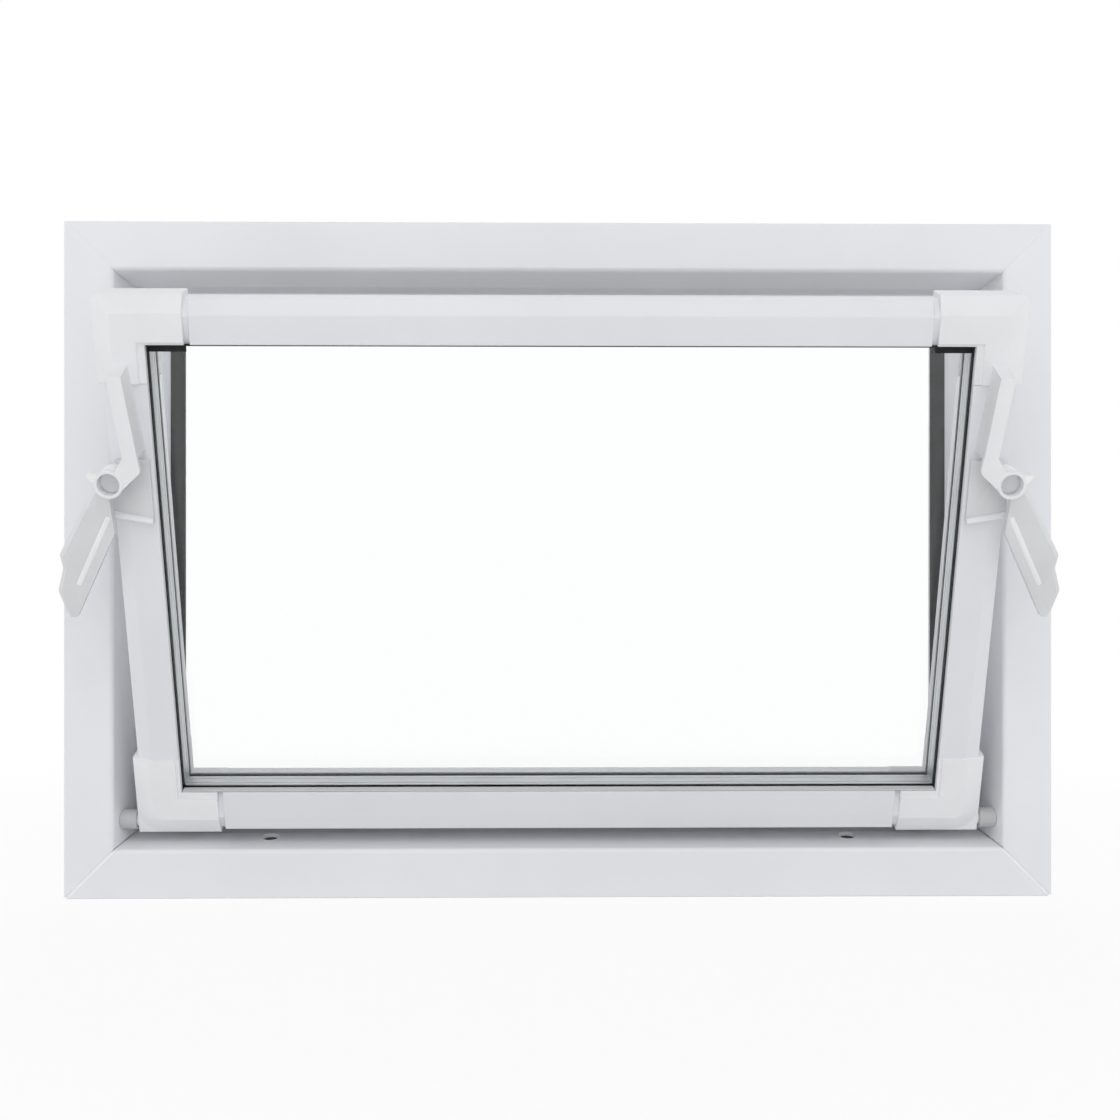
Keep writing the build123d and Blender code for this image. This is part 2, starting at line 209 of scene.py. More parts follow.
# Edges that turn by more than this many degrees stay sharp
sharp_angle = 28.0

# Camera: what the photo's perspective gives for a frame of this width, the yaw in degrees
photo_pixels = 1120
focal_pixels = 1482.3
camera_distance = 900.0
camera_yaw = 0.83
sensor_width = 36.0
# Studio: strength of the ambient light, the floor's half width and its gap below the sill, and how much
# the floor glows beside the object and between which distances this rises to 1
ambient_strength = 0.46
floor_reach = 6000.0
floor_gap = 0.2
floor_near_glow = 0.88
floor_fade = (350.0, 800.0)


def vector(*values):
    """A numpy vector."""
    return np.array(values, float)


def joint(name):
    """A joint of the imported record, by name."""
    return next(entry for entry in frame["joints"] if entry["name"] == name)


class Plane:
    """A plane of the object: its origin in metres, and its right, up and back directions as rows."""

    def __init__(self, origin, right, up, back):
        self.origin = origin
        self.axes = np.stack([right, up, back])

    def place(self, local):
        """World points in metres of local points in millimetres."""
        return self.origin + MM * np.asarray(local) @ self.axes

    def local(self, points):
        """Local points in millimetres of a flat run of world coordinates in metres."""
        return (points.reshape(-1, 3) - self.origin) @ self.axes.T / MM

    def box(self, node):
        """Lowest and highest corner of a CAD node along this plane's own axes, in millimetres."""
        vertices = frame["nodes"][node].data.vertices
        points = np.zeros(len(vertices) * 3)
        vertices.foreach_get("co", points)
        local = self.local(points)
        return local.min(0), local.max(0)


# Planes of the frame's room face and of the sash bars' face, each with its origin in the middle
frame_low = np.array(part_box("frame_sill")[0])
frame_high = np.array(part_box("frame_head")[1])
frame_middle = vector(0, frame_low[1], (frame_low[2] + frame_high[2]) / 2)
frame_plane = Plane(frame_middle, vector(1, 0, 0), vector(0, 0, 1), vector(0, 1, 0))
frame_half = (frame_high - frame_low)[[0, 2]] / 2 / MM

sash_back = np.array(joint("right_lever_turn")["axis"])
sash_up = np.cross(vector(1, 0, 0), sash_back)
pin_plane = Plane(np.array(joint("sash_tilt")["pos_m"]), vector(1, 0, 0), sash_up, sash_back)
rail_top_low, rail_top_high = pin_plane.box("sash_rail_top")
rail_bottom_low = pin_plane.box("sash_rail_bottom")[0]
stile_high = pin_plane.box("sash_stile_right")[1]
bars_middle = vector(0, (rail_top_high[1] + rail_bottom_low[1]) / 2, rail_top_low[2])
sash_plane = Plane(pin_plane.place(bars_middle), vector(1, 0, 0), sash_up, sash_back)
bars_half = vector(stile_high[0], (rail_top_high[1] - rail_bottom_low[1]) / 2)

# Where the painted highlights on the levers' hubs sit: sideways from the window's middle and up the sash, in
# metres
lever_pin = np.array(joint("right_lever_turn")["pos_m"])
highlight_spot = (lever_pin[0] + highlight_out * MM, lever_pin @ sash_up + highlight_up * MM)


# Shapes


def rounded(section):
    """A closed outline of (depth, inset) points: each corner of the section becomes an arc of its radius.

    The arc's centre lies on the corner's bisector, radius / sin(half angle) away, and its angle runs
    from one tangent point to the other.
    """
    section = np.array(section)
    corners = section[:, :2]
    radii = section[:, 2:]
    before = np.roll(corners, 1, 0) - corners
    after = np.roll(corners, -1, 0) - corners
    before /= np.linalg.norm(before, axis=1, keepdims=True)
    after /= np.linalg.norm(after, axis=1, keepdims=True)
    bisector = before + after
    bisector /= np.linalg.norm(bisector, axis=1, keepdims=True)
    half_cos = (before * bisector).sum(1, keepdims=True)
    half_sin = np.sqrt(1 - half_cos**2)
    centres = corners + bisector * radii / half_sin
    reach = radii * half_cos / half_sin
    start = corners + before * reach - centres
    end = corners + after * reach - centres
    start_angle = np.arctan2(start[:, 1], start[:, 0])
    turn = np.arctan2(end[:, 1], end[:, 0]) - start_angle
    turn = (turn + np.pi) % (2 * np.pi) - np.pi
    angles = start_angle[:, None] + turn[:, None] * np.linspace(0, 1, arc_steps)
    arcs = centres[:, None] + radii[:, None] * np.stack([np.cos(angles), np.sin(angles)], -1)
    return arcs.reshape(-1, 2)


def outward(outline):
    """Unit normals of a closed outline, pointing out of it: the mean edge direction, turned a quarter."""
    along = np.roll(outline, -1, 0) - np.roll(outline, 1, 0)
    normals = np.stack([along[:, 1], -along[:, 0]], 1)
    normals /= np.linalg.norm(normals, axis=1, keepdims=True)
    x, y = outline.T
    area = (x * np.roll(y, -1) - y * np.roll(x, -1)).sum()
    return normals * np.sign(area)


def linked(name, data):
    """A new object with some data, linked into the scene."""
    made = bpy.data.objects.new(name, data)
    bpy.context.scene.collection.objects.link(made)
    return made


def new_piece(name, mesh, material, body, nodes):
    """Link a mesh as a piece that rides a body, takes a material and stands for CAD nodes, which it hides.
    """
    mesh.materials.clear()
    mesh.materials.append(material)
    piece = linked(name, mesh)
    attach(piece, body)
    if nodes:
        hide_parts(*nodes)
    return piece


def shaded(mesh):
    """Shade a mesh smooth, but for the edges that turn by more than the sharp angle."""
    mesh.polygons.foreach_set("use_smooth", np.ones(len(mesh.polygons), bool))
    mesh.set_sharp_from_angle(angle=math.radians(sharp_angle))
    return mesh


def sweep(name, rings):
    """A mesh of one closed outline carried through rings of points, closed by a flat face at each end.

    rings is (ring, point, xyz). Ring i joins ring i + 1 by quads. The UV map runs along the rings and
    round the outline, in metres. The rings are turned round if the faces would point inwards.
    """
    ring_count, point_count, _ = rings.shape
    middle = rings.mean((0, 1))
    first = rings[:-1] - middle
    second = np.roll(rings, -1, 1)[:-1] - middle
    third = rings[1:] - middle
    if (np.cross(first, second) * third).sum() < 0:
        rings = rings[:, ::-1]
    ring, point = np.meshgrid(np.arange(ring_count - 1), np.arange(point_count), indexing="ij")
    beside = (point + 1) % point_count
    corners = np.stack(
        [
            ring * point_count + point,
            ring * point_count + beside,
            (ring + 1) * point_count + beside,
            (ring + 1) * point_count + point,
        ],
        -1,
    ).reshape(-1, 4)
    last = (ring_count - 1) * point_count
    caps = [list(range(point_count))[::-1], list(range(last, last + point_count))]
    mesh = bpy.data.meshes.new(name)
    mesh.from_pydata(rings.reshape(-1, 3).tolist(), [], corners.tolist() + caps)
    length = np.linalg.norm(np.diff(rings.mean(1), axis=0), axis=1)
    run = np.concatenate([[0], np.cumsum(length)])
    middle_ring = rings[ring_count // 2]
    girth = np.linalg.norm(np.diff(middle_ring, axis=0, append=middle_ring[:1]), axis=1)
    round_run = np.concatenate([[0], np.cumsum(girth)])
    u = np.stack([run[ring], run[ring], run[ring + 1], run[ring + 1]], -1).reshape(-1, 4)
    v = np.stack([round_run[point], round_run[point + 1], round_run[point + 1], round_run[point]], -1)
    uv = np.stack([u, v.reshape(-1, 4)], -1).reshape(-1)
    layer = mesh.uv_layers.new(name="run_and_girth")
    flat_uv = np.zeros(len(mesh.loops) * 2)
    flat_uv[: uv.size] = uv
    layer.data.foreach_set("uv", flat_uv)
    return shaded(mesh)


def bar_points(side, along, out, depth):
    """Local points of a bar on one side of a rectangle, from its run, its distance out and its depth."""
    across, up = {
        "bottom": (along, -out),
        "top": (along, out),
        "left": (-out, along),
        "right": (out, along),
    }[side]
    return np.stack(np.broadcast_arrays(across, up, depth), -1)


def mitred_bar(name, plane, side, half, section, weld_depth=(0.0, 0.0), weld_reach=0.5):
    """A bar of a rectangle with 45 degree ends: a point with inset i ends i short of the corner.

    Near each end the outline sinks along its normals into half a V groove, the cleaned weld of the
    corner. The two depths are for the ends where the run is negative and positive.
    """
    half_run, half_span = half[::-1] if side in UPRIGHT else half
    outline = rounded(section)
    normals = outward(outline)
    back_off = np.array(weld_steps) * weld_reach
    fade = np.clip(1 - back_off / weld_reach, 0, 1)[:, None, None]
    ends = []
    for sign, depth_here in zip((-1, 1), weld_depth):
        shape = outline - normals * fade * depth_here
        depth = shape[..., 0]
        inset = shape[..., 1]
        reach = half_run - inset - back_off[:, None]
        ends.append(bar_points(side, sign * reach, half_span - inset, depth))
    return sweep(name, plane.place(np.concatenate([ends[0], ends[1][::-1]])))


def square_bar(name, side, half_run, bevel_depth, necked):
    """A sash bar with square ends. A necked one ends in a lowered stub, so that an open joint shows.

    The neck sinks the bevel and the flat of the face by the joint's depth, but for a tooth at the ridge.
    """
    half_span = bars_half[0] if side in UPRIGHT else bars_half[1]
    outline = rounded(((bevel_depth, 0.0, bevel_radius),) + bar_section)
    depth, inset = outline.T
    on_face = depth < bevel_depth + bevel_radius
    off_tooth = np.abs(inset - bevel_width) > joint_tooth / 2
    neck_depth = np.where(on_face & off_tooth, depth + joint_depth, depth)
    ends = np.array([half_run, half_run - joint_width, half_run - joint_width - joint_step])
    ring_depth = np.stack([neck_depth, neck_depth, depth]) if necked else np.stack([depth] * 3)
    near = bar_points(side, -ends[:, None], half_span - inset, ring_depth)
    far = bar_points(side, ends[:, None], half_span - inset, ring_depth)[::-1]
    return sweep(name, sash_plane.place(np.concatenate([near, far])))


def drain_place(sign):
    """Where a drain hole's middle meets the sloping reveal, in metres, and the slope of the reveal there."""
    front, back = frame_section[1:3]
    slope = (back[1] - front[1]) / (back[0] - front[0])
    across = sign * (frame_half[0] - drain_from_end)
    height = front[1] + slope * (drain_setback - front[0])
    return frame_plane.place((across, height - frame_half[1], drain_setback)), slope


def revolved(name, place, slope, profile):
    """A closed outline of (radius, height) points carried round the upright through a place on a slope.

    Each point keeps its height above the slope, which rises with its distance behind the place.
    """
    angle = circle_angles[:, None]
    radius, height = np.array(profile).T
    behind = radius * np.sin(angle)
    rings = place + MM * np.stack([radius * np.cos(angle), behind, height + slope * behind], -1)
    count = len(profile)
    turn, step = np.meshgrid(np.arange(circle_steps), np.arange(count), indexing="ij")
    after = (turn + 1) % circle_steps
    beside = (step + 1) % count
    corners = [turn * count + step, after * count + step, after * count + beside, turn * count + beside]
    faces = np.stack(corners, -1).reshape(-1, 4).tolist()
    mesh = bpy.data.meshes.new(name)
    mesh.from_pydata(rings.reshape(-1, 3).tolist(), [], faces)
    layer = mesh.uv_layers.new(name="run_and_girth")
    layer.data.foreach_set("uv", np.zeros(len(mesh.loops) * 2))
    return shaded(mesh)


def drilled(mesh):
    """The sill with its two drain holes cut out by upright cylinders."""
    circle = np.stack([np.cos(circle_angles), np.sin(circle_angles), 0 * circle_angles], -1)
    ends = np.array([-drain_depth, drain_depth])[:, None, None] * vector(0, 0, 1)
    cylinder = circle * drain_diameter / 2 + ends
    sill = linked("sill_blank", mesh)
    drills = []
    for sign in SIGNS.values():
        drill = linked("drill", sweep("drill", drain_place(sign)[0] + MM * cylinder))
        cut = sill.modifiers.new("drain_hole", "BOOLEAN")
        cut.object = drill
        cut.solver = "EXACT"
        drills.append(drill)
    drilled_mesh = bpy.data.meshes.new_from_object(sill.evaluated_get(bpy.context.evaluated_depsgraph_get()))
    for blank in [sill] + drills:
        bpy.data.objects.remove(blank)
    return shaded(drilled_mesh)


def paint_weld_highlights(mesh):
    """Give the sill's faces beside its mitres the second, whiter material, a painted highlight on the welds.

    A face belongs to a weld where its distance from the end, less its inset, is under the weld's reach.
    """
    middles = np.zeros(len(mesh.polygons) * 3)
    mesh.polygons.foreach_get("center", middles)
    local = frame_plane.local(middles)
    from_end = frame_half[0] - np.abs(local[:, 0])
    inset = frame_half[1] - np.abs(local[:, 1])
    beside = from_end - inset < weld_reach_level
    mesh.polygons.foreach_set("material_index", beside.astype(np.int32))


def spacer_section():
    """The spacer's section: a box whose showing face dips into V grooves at the groove depths."""
    grooves = [
        (depth + shift * spacer_groove_half_width, spacer_high - sink, spacer_groove_radius)
        for depth in spacer_grooves
        for shift, sink in ((-1, 0.0), (0, spacer_groove_depth), (1, 0.0))
    ]
    return [
        (spacer_front, spacer_low, 0.2),
        (spacer_front, spacer_high, 0.4),
        *grooves,
        (spacer_back, spacer_high, 0.4),
        (spacer_back, spacer_low, 0.2),
    ]


def corner_tab(name, sign):
    """A tab of the gasket below the top rail: a flat rounded section carried along it from the stile."""
    depth, drop = rounded(tab_section).T
    run = np.array([[0.0], [tab_length]])
    across = sign * (bars_half[0] - bar_width - run)
    level = bars_half[1] - bar_width - drop
    return sweep(name, sash_plane.place(np.stack(np.broadcast_arrays(across, level, depth), -1)))


def lever_plane(side):
    """The plane that a lever turns in: its origin is on the pin, its right points away from the glass."""
    pin = np.array(joint(f"{side}_lever_turn")["pos_m"])
    return Plane(pin, vector(SIGNS[side], 0, 0), sash_up, sash_back)


def slot_insert(name, side):
    """A white insert in a lever's slot: outlines with round ends, stacked from its foot to its crown.

    Outline k stands at its own level and is drawn in from the slot's wall, so that the face is crowned:
    the drawing-in is the half width times 1 - cos of an angle and the rise is the crown times its sine.
    """
    turn = math.radians(lever_angle)
    along = vector(math.sin(turn), -math.cos(turn))
    out = vector(math.cos(turn), math.sin(turn))
    crown = np.linspace(0, math.radians(insert_crown_turn), insert_crown_steps)
    level = np.concatenate([[insert_foot], insert_face + insert_crown * np.sin(crown)])
    half_width = slot_half_width * np.concatenate([[1], np.cos(crown)])[:, None]
    tip_angle = np.linspace(-np.pi / 2, np.pi / 2, insert_end_steps)
    angle = np.concatenate([tip_angle, tip_angle + np.pi])
    end = np.repeat([slot_end - slot_half_width, slot_start + slot_half_width], insert_end_steps)
    run = end + half_width * np.cos(angle)
    across = half_width * np.sin(angle) - slot_inner
    flat = run[..., None] * along + across[..., None] * out
    depth = np.broadcast_to(lever_pin_level - level[:, None, None], run.shape + (1,))
    return sweep(name, lever_plane(side).place(np.concatenate([flat, depth], -1)))


def hub_floor(name, side):
    """The floor of a lever's hub: circles stacked from its foot to its face, the last drawn in a little."""
    radius = hub_floor_radius - np.array([[0.0], [0.0], [hub_floor_edge]])
    level = np.array([[hub_floor_foot], [hub_floor_face - hub_floor_edge], [hub_floor_face]])
    depth = lever_pin_level - level
    rings = np.broadcast_arrays(radius * np.cos(circle_angles), radius * np.sin(circle_angles), depth)
    return sweep(name, lever_plane(side).place(np.stack(rings, -1)))


def rim_bead(name, side):
    """A bead on a base plate's lower rim: its rounded section is carried from one end to the other."""
    rise, level = rounded(bead_section).T
    across, height = np.array(rim_ends).T[:, :, None]
    rings = np.broadcast_arrays(across, height + rise, lever_pin_level - level)
    return sweep(name, lever_plane(side).place(np.stack(rings, -1)))


def bar_piece(name, mesh, material, body, node):
    """A bar as the piece that stands for a CAD node, with its flat faces shaded flat beside their arcs."""
    piece = new_piece(name, mesh, material, body, [node])
    even = piece.modifiers.new("flat_faces", "WEIGHTED_NORMAL")
    even.keep_sharp = True
    return piece


def softened(node):
    """A copy of a CAD node with its doubles merged and its flat faces joined."""
    mesh = frame["nodes"][node].data.copy()
    mesh.name = f"soft_{node}"
    shell = bmesh.new()
    shell.from_mesh(mesh)
    bmesh.ops.remove_doubles(shell, verts=shell.verts, dist=merge_distance * MM)
    bmesh.ops.dissolve_limit(
        shell,
        angle_limit=math.radians(flat_angle),
        verts=shell.verts,
        edges=shell.edges,
    )
    shell.to_mesh(mesh)
    shell.free()
    mesh.polygons.foreach_set("use_smooth", np.ones(len(mesh.polygons), bool))
    return mesh


def soft_piece(node, edge, material, body):
    """A rounded copy of a CAD node, as the piece that stands for it."""
    piece = new_piece(f"soft_{node}", softened(node), material, body, [node])
    bevel = piece.modifiers.new("moulded_edges", "BEVEL")
    bevel.width = edge * MM
    bevel.segments = rounded_segments
    bevel.limit_method = "ANGLE"
    bevel.angle_limit = math.radians(rounded_angle)
    bevel.harden_normals = True
    return piece


# Materials


def linear(colour):
    """Linear red, green, blue and alpha of an sRGB hex colour."""
    levels = np.array([int(colour[i : i + 2], 16) for i in (1, 3, 5)]) / 255
    values = np.where(levels <= 0.04045, levels / 12.92, ((levels + 0.055) / 1.055) ** 2.4)
    return (*values.tolist(), 1.0)


def add_node(tree, kind, inputs=None, **settings):
    """Add one shader node. Settings are its properties, and inputs are socket values or outputs to link."""
    node = tree.nodes.new("ShaderNode" + kind)
    for name, value in settings.items():
        setattr(node, name, value)
    for socket, value in (inputs or {}).items():
        if isinstance(value, bpy.types.NodeSocket):
            tree.links.new(value, node.inputs[socket])
        else:
            node.inputs[socket].default_value = value
    return node


def new_material(name):
    """A node material and its empty tree."""
    material = bpy.data.materials.new(name)
    material.use_nodes = True
    material.node_tree.nodes.clear()
    return material, material.node_tree


def run_lines(tree, length, spacing):
    """Lines along a bar's run, as noise: their length and spacing are in millimetres."""
    uv = add_node(tree, "UVMap", uv_map="run_and_girth").outputs["UV"]
    stretch = add_node(tree, "Mapping", {"Vector": uv, "Scale": (1 / (length * MM), 1 / (spacing * MM), 1)})
    lines = add_node(tree, "TexNoise", {"Vector": stretch.outputs[0], "Scale": 1.0, "Detail": 2.0})
    return lines.outputs["Fac"]


def extruded_pvc(name, bright, dull):
    """Extruded PVC-U: the die leaves faint lines along the bar, and the skin is satin with slow mottling."""
    material, tree = new_material(name)
    place = add_node(tree, "TexCoord").outputs["Object"]
    # Die lines 1.6 mm apart and about 300 mm long, coarser than real so that they show
    lines = run_lines(tree, 300, 1.6)
    # Mottling over about 80 mm, from uneven cooling
    cloud = add_node(tree, "TexNoise", {"Vector": place, "Scale": 1 / (80 * MM), "Detail": 3.0})
    # Skin texture of about 0.9 mm
    skin = add_node(tree, "TexNoise", {"Vector": place, "Scale": 1 / (0.9 * MM), "Detail": 1.0})
    blend = add_node(tree, "MapRange", {"Value": cloud.outputs["Fac"], "From Min": 0.35, "From Max": 0.65})
    colour = add_node(
        tree,
        "Mix",
        {"Factor": blend.outputs[0], "A": linear(bright), "B": linear(dull)},
        data_type="RGBA",
    )
    rough = add_node(
        tree,
        "MapRange",
        {"Value": lines, "From Min": 0.3, "From Max": 0.7, "To Min": 0.34, "To Max": 0.44},
    )
    fine = add_node(tree, "Bump", {"Height": skin.outputs["Fac"], "Strength": 0.25, "Distance": 0.02 * MM})
    ridges = add_node(
        tree,
        "Bump",
        {"Height": lines, "Strength": 0.3, "Distance": 0.06 * MM, "Normal": fine.outputs[0]},
    )
    shader = add_node(
        tree,
        "BsdfPrincipled",
        {
            "Base Color": colour.outputs["Result"],
            "Roughness": rough.outputs[0],
            "IOR": 1.53,
            "Normal": ridges.outputs[0],
        },
    )
    add_node(tree, "OutputMaterial", {"Surface": shader.outputs[0]})
    return material


def moulded_plastic(name, bright, dull, highlight_colour=None):
    """Injection-moulded plastic: a fine spark-eroded grain from the mould, a little warmer than the bars.

    A lever's plastic can also fade to a third, near-white colour round the top of its hub: a painted
    highlight.
    """
    material, tree = new_material(name)
    place = add_node(tree, "TexCoord").outputs["Object"]
    # Grain of about 0.7 mm, coarser than real so that it shows
    grain = add_node(tree, "TexNoise", {"Vector": place, "Scale": 1 / (0.7 * MM), "Detail": 2.0})
    # Mottling over about 30 mm, from the flow in the mould
    cloud = add_node(tree, "TexNoise", {"Vector": place, "Scale": 1 / (30 * MM), "Detail": 3.0})
    blend = add_node(tree, "MapRange", {"Value": cloud.outputs["Fac"], "From Min": 0.35, "From Max": 0.65})
    colour = add_node(
        tree,
        "Mix",
        {"Factor": blend.outputs[0], "A": linear(bright), "B": linear(dull)},
        data_type="RGBA",
    )
    if highlight_colour:
        # How far a point is from the painted highlight of its own side, seen along the pin
        parts = add_node(tree, "SeparateXYZ", {"Vector": place})
        sideways = add_node(tree, "Math", {0: parts.outputs["X"]}, operation="ABSOLUTE")
        beside = add_node(tree, "Math", {0: sideways.outputs[0], 1: highlight_spot[0]}, operation="SUBTRACT")
        height = add_node(tree, "VectorMath", {0: place, 1: tuple(sash_up)}, operation="DOT_PRODUCT")
        above = add_node(tree, "Math", {0: height.outputs["Value"], 1: highlight_spot[1]}, operation="SUBTRACT")
        offset = add_node(tree, "CombineXYZ", {"X": beside.outputs[0], "Y": above.outputs[0]})
        away = add_node(tree, "VectorMath", {0: offset.outputs[0]}, operation="LENGTH")
        fade = add_node(
            tree,
            "MapRange",
            {"Value": away.outputs["Value"], "From Min": highlight_reach[0] * MM, "From Max": highlight_reach[1] * MM},
        )
        colour = add_node(
            tree,
            "Mix",
            {"Factor": fade.outputs[0], "A": linear(highlight_colour), "B": colour.outputs["Result"]},
            data_type="RGBA",
        )
    rough = add_node(
        tree,
        "MapRange",
        {"Value": grain.outputs["Fac"], "From Min": 0.3, "From Max": 0.7, "To Min": 0.42, "To Max": 0.56},
    )
    bump = add_node(tree, "Bump", {"Height": grain.outputs["Fac"], "Strength": 0.3, "Distance": 0.04 * MM})
    shader = add_node(
        tree,
        "BsdfPrincipled",
        {
            "Base Color": colour.outputs["Result"],
            "Roughness": rough.outputs[0],
            "IOR": 1.5,
            "Normal": bump.outputs[0],
        },
    )
    add_node(tree, "OutputMaterial", {"Surface": shader.outputs[0]})
    return material


def black_rubber(name):
    """Extruded EPDM: black and dull, with grey bloom in patches and lines along the strip."""
    material, tree = new_material(name)
    place = add_node(tree, "TexCoord").outputs["Object"]
    # Extrusion lines 0.8 mm apart and about 60 mm long
    lines = run_lines(tree, 60, 0.8)
    # Bloom patches of about 15 mm
    bloom = add_node(tree, "TexNoise", {"Vector": place, "Scale": 1 / (15 * MM), "Detail": 4.0})
    blend = add_node(tree, "MapRange", {"Value": bloom.outputs["Fac"], "From Min": 0.4, "From Max": 0.75})
    colour = add_node(
        tree,
        "Mix",
        {"Factor": blend.outputs[0], "A": linear("#131415"), "B": linear("#292b2d")},
        data_type="RGBA",
    )
    rough = add_node(
        tree,
        "MapRange",
        {"Value": lines, "From Min": 0.3, "From Max": 0.7, "To Min": 0.55, "To Max": 0.75},
    )
    bump = add_node(tree, "Bump", {"Height": lines, "Strength": 0.4, "Distance": 0.08 * MM})
    shader = add_node(
        tree,
        "BsdfPrincipled",
        {
            "Base Color": colour.outputs["Result"],
            "Roughness": rough.outputs[0],
            "IOR": 1.4,
            "Normal": bump.outputs[0],
        },
    )
    add_node(tree, "OutputMaterial", {"Surface": shader.outputs[0]})
    return material


def float_glass(name):
    """Clear float glass: flat, with smears from wiping. A low-reflection coating lowers its IOR."""
    material, tree = new_material(name)
    place = add_node(tree, "TexCoord").outputs["Object"]
    # Smears of about 50 mm, drawn out to 120 mm along the wiping direction
    scale = (1 / (120 * MM), 1 / (50 * MM), 1 / (50 * MM))
    stretch = add_node(tree, "Mapping", {"Vector": place, "Scale": scale})
    smear = add_node(tree, "TexNoise", {"Vector": stretch.outputs[0], "Scale": 1.0, "Detail": 4.0})
    rough = add_node(
        tree,
        "MapRange",
        {"Value": smear.outputs["Fac"], "From Min": 0.5, "From Max": 0.8, "To Min": 0.0, "To Max": 0.015},
    )
    shader = add_node(
        tree,
        "BsdfPrincipled",
        {
            "Base Color": linear("#feffff"),
            "Roughness": rough.outputs[0],
            "IOR": 1.3,
            "Transmission Weight": 1.0,
        },
    )
    add_node(tree, "OutputMaterial", {"Surface": shader.outputs[0]})
    return material


def mill_aluminium(name):
    """Roll-formed aluminium spacer: bright mill finish with fine roll lines along it."""
    material, tree = new_material(name)
    # Roll lines 0.5 mm apart and about 40 mm long
    lines = run_lines(tree, 40, 0.5)
    rough = add_node(
        tree,
        "MapRange",
        {"Value": lines, "From Min": 0.3, "From Max": 0.7, "To Min": 0.4, "To Max": 0.55},
    )
    colour = add_node(
        tree,
        "Mix",
        {"Factor": lines, "A": linear("#dfe2e3"), "B": linear("#c4c7ca")},
        data_type="RGBA",
    )
    bump = add_node(tree, "Bump", {"Height": lines, "Strength": 0.2, "Distance": 0.05 * MM})
    shader = add_node(
        tree,
        "BsdfPrincipled",
        {
            "Base Color": colour.outputs["Result"],
            "Metallic": 1.0,
            "Roughness": rough.outputs[0],
            "Normal": bump.outputs[0],
        },
    )
    add_node(tree, "OutputMaterial", {"Surface": shader.outputs[0]})
    return material


# Cool white profiles: the sash is a shade darker than the frame, which is painted shade, the sill's welds
# are whiter than both, which is a painted highlight, and the trim is greyer, which is painted shade
frame_pvc = extruded_pvc("extruded_frame_pvc", "#f4f5f9", "#f1f2f6")
sash_pvc_painted_shade = extruded_pvc("sash_pvc_with_painted_shade", "#edeef2", "#e9eaee")
weld_pvc_painted_highlight = extruded_pvc("weld_pvc_with_painted_highlight", "#ffffff", "#fcfcfd")
trim_pvc_painted_shade = extruded_pvc("trim_pvc_with_painted_shade", "#dcdddf", "#d6d7d9")
# The drain bores' dark grey is painted shade, the shadow deep in the holes
drain_painted_shade = moulded_plastic("drain_painted_shade_plastic", "#6e6f71", "#5c5d5f")
# Neutral white mouldings: the levers, their base plates and their hubs' floors are darker than the corners,
# which is painted shade; the levers' inserts are whiter and the tops of their hubs near white, which are
# painted highlights;
# and the bearings' nylon is pale grey
corner_plastic = moulded_plastic("moulded_corner_plastic", "#f3f4f6", "#f0f1f3")
lever_plastic_painted_shade = moulded_plastic("lever_plastic_with_painted_shade", "#e2e3e5", "#dedfe1")
lever_plastic_painted_shade_and_highlight = moulded_plastic("lever_plastic_painted_shade_and_highlight", "#e2e3e5", "#dedfe1", "#fbfbfb")
insert_plastic_painted_highlight = moulded_plastic("insert_plastic_with_painted_highlight", "#f8f8f8", "#f4f4f5")
grey_nylon = moulded_plastic("moulded_grey_nylon", "#c3c5c6", "#bcbebf")
epdm = black_rubber("black_epdm_rubber")
glass = float_glass("coated_float_glass")
aluminium = mill_aluminium("mill_finish_aluminium")


# Outer frame and its seal
frame_nodes = {
    "bottom": "frame_sill",
    "top": "frame_head",
    "left": "frame_jamb_left",
    "right": "frame_jamb_right",
}
for side, node in frame_nodes.items():
    if side in UPRIGHT:
        welds = (weld_depths["bottom"], weld_depths["top"])
        weld_reach = weld_reach_jamb
    else:
        welds = (weld_depths[side], weld_depths[side])
        weld_reach = weld_reach_level
    mesh = mitred_bar(f"welded_{node}", frame_plane, side, frame_half, frame_section, welds, weld_reach)
    if side == "bottom":
        mesh = drilled(mesh)
        mesh.name = f"welded_{node}"
    bar_piece(f"welded_{node}", mesh, frame_pvc, "frame", node)
    # The sill's welds take a whiter PVC, which is a painted highlight
    if side == "bottom":
        mesh.materials.append(weld_pvc_painted_highlight)
        paint_weld_highlights(mesh)

# Drain funnels over cups of painted shade, for the bores that lead into the sill's chambers
wide = drain_diameter / 2
narrow = drain_bore / 2
funnel_foot = -drain_funnel - drain_wall
funnel = [
    (wide + drain_overlap, 0.0),
    (wide - drain_rim, drain_rim),
    (narrow, -drain_funnel),
    (narrow, funnel_foot),
    (wide, funnel_foot),
]
cup_foot = -drain_depth + drain_cup_lift
cup = [
    (wide - drain_overlap, funnel_foot),
    (narrow, funnel_foot),
    (narrow, cup_foot + 2 * drain_wall),
    (drain_pinhole, cup_foot + drain_wall),
    (drain_pinhole, cup_foot),
    (wide - drain_overlap, cup_foot),
]
for side, sign in SIGNS.items():
    place, slope = drain_place(sign)
    funnel_mesh = revolved(f"drain_funnel_{side}", place, slope, funnel)
    new_piece(f"drain_funnel_{side}", funnel_mesh, frame_pvc, "frame", [])
    shade_cup_mesh = revolved(f"drain_bore_{side}", place, slope, cup)
    new_piece(f"drain_bore_{side}", shade_cup_mesh, drain_painted_shade, "frame", [])

for side in SIDES:
    node = f"frame_seal_{side}"
    low, high = frame_plane.box(node)
    half_out = frame_half[0] if side in UPRIGHT else frame_half[1]
    inner = half_out + {"bottom": high[1], "top": -low[1], "left": high[0], "right": -low[0]}[side]
    outer = half_out + {"bottom": low[1], "top": -high[1], "left": low[0], "right": -high[0]}[side]
    seal_section = (
        (low[2], outer, seal_outer_radius),
        (low[2], inner, seal_inner_radius),
        (high[2], inner, seal_inner_radius),
        (high[2], outer, seal_outer_radius),
    )
    mesh = mitred_bar(f"rubber_{node}", frame_plane, side, frame_half, seal_section)
    bar_piece(f"rubber_{node}", mesh, epdm, "frame", node)

